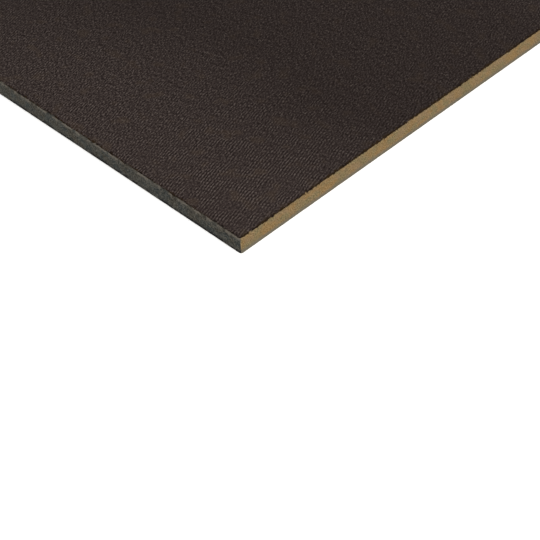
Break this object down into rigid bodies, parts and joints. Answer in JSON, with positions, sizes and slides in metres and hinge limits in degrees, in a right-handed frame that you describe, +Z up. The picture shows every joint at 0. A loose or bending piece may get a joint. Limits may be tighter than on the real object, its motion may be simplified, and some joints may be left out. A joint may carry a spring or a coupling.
{
  "type": "perlite roof cover board",
  "caption": "Flat square rigid board of pressed perlite and fibre with a dark sealed top face, laid over roof insulation to carry the membrane.",
  "frame": {"origin": "centre of the underside, which the board lies on", "axes": "+Z up, out of the dark sealed face that takes the membrane; +X across and +Y along the board, square to its edges"},
  "size_m": [1.2192, 1.2192, 0.0127],
  "materials": {
    "board": "matte"
  },
  "bodies": {
    "root": {"cover_board": "board"}
  },
  "joints": []
}
